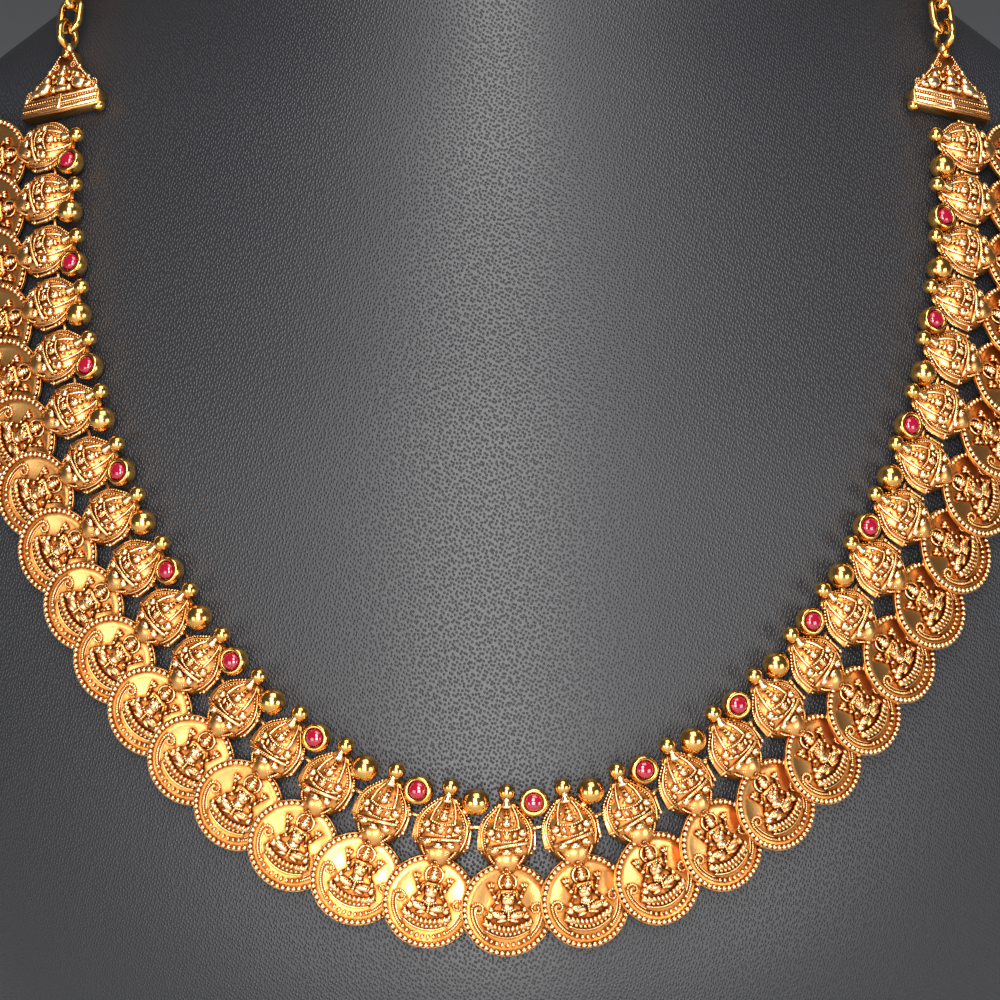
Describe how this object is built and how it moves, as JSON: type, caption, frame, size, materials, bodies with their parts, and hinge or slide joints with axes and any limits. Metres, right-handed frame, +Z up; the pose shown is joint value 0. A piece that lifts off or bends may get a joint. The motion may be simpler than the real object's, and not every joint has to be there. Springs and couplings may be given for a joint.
{
  "type": "gold coin necklace on a neck bust",
  "caption": "Antique-finish gold necklace of overlapping embossed coins under domed figure motifs, with ruby bezels and ball spacers between them, laid round a black neck bust.",
  "frame": {"origin": "on the base plane, below the middle of the whole object's bounding box", "axes": "+Z up; -Y is the front of the bust, where the middle of the necklace hangs; +X to the right as seen from the front"},
  "size_m": [0.214, 0.157, 0.245],
  "materials": {
    "antique_gold": "antique matte gold with polished high spots and brown recesses",
    "polished_gold": "polished",
    "dark_gold": "satin, darkened",
    "ruby": "polished dome",
    "leatherette": "fine pebbled matte leatherette"
  },
  "bodies": {
    "root": {"neck_bust": "leatherette", "link_wire": "dark_gold", "rubies": "ruby", "terminal_left": "antique_gold", "terminal_right": "antique_gold", "chain_left": "polished_gold", "chain_right": "polished_gold", "clasp": "polished_gold", "motif_01": "antique_gold", "motif_02": "antique_gold", "motif_03": "antique_gold", "motif_04": "antique_gold", "motif_05": "antique_gold", "motif_06": "antique_gold", "motif_07": "antique_gold", "motif_08": "antique_gold", "motif_09": "antique_gold", "motif_10": "antique_gold", "motif_11": "antique_gold", "motif_12": "antique_gold", "motif_13": "antique_gold", "motif_14": "antique_gold", "motif_15": "antique_gold", "motif_16": "antique_gold", "motif_17": "antique_gold", "motif_18": "antique_gold", "motif_19": "antique_gold", "motif_20": "antique_gold", "motif_21": "antique_gold", "motif_22": "antique_gold", "motif_23": "antique_gold", "motif_24": "antique_gold", "motif_25": "antique_gold", "motif_26": "antique_gold", "motif_27": "antique_gold", "motif_28": "antique_gold", "motif_29": "antique_gold", "motif_30": "antique_gold", "motif_31": "antique_gold", "motif_32": "antique_gold", "motif_33": "antique_gold"}
  },
  "joints": []
}
